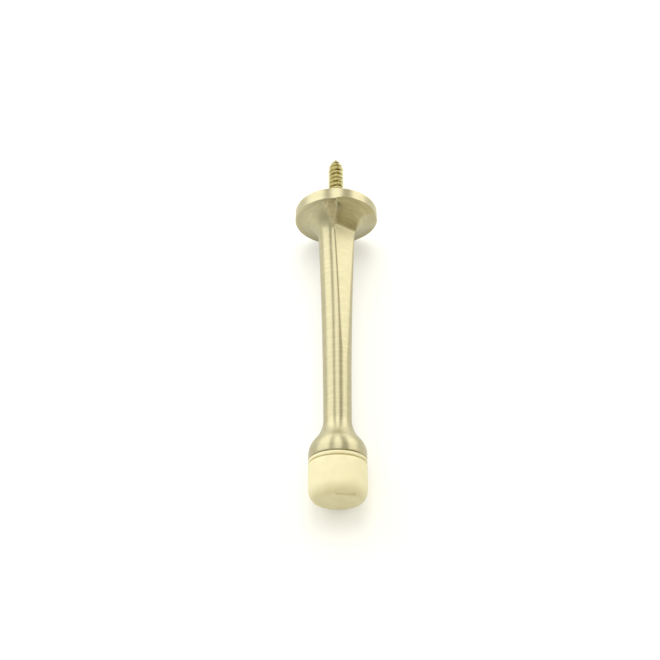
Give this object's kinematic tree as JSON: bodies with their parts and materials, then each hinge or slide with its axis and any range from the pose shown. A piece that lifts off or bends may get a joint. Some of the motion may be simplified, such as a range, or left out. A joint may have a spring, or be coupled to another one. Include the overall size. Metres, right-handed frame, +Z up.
{
  "type": "rigid door stop",
  "caption": "Rigid wall door stop: round flange with a wood screw, round tapering shank with two flats, and a bell end with a rubber bumper tip.",
  "frame": {"origin": "centre of the flange's back face, where it lies against the wall", "axes": "+Y into the wall along the screw, -Y out of the wall along the stop, +Z up, +X to the right"},
  "size_m": [0.0254, 0.1165, 0.0254],
  "materials": {
    "satin_brass": "satin, brushed round the axis",
    "brassed_steel": "plated, rolled thread",
    "cream_rubber": "moulded, matt"
  },
  "bodies": {
    "root": {"cast_body": "satin_brass", "mounting_screw": "brassed_steel", "rubber_tip": "cream_rubber"}
  },
  "joints": []
}
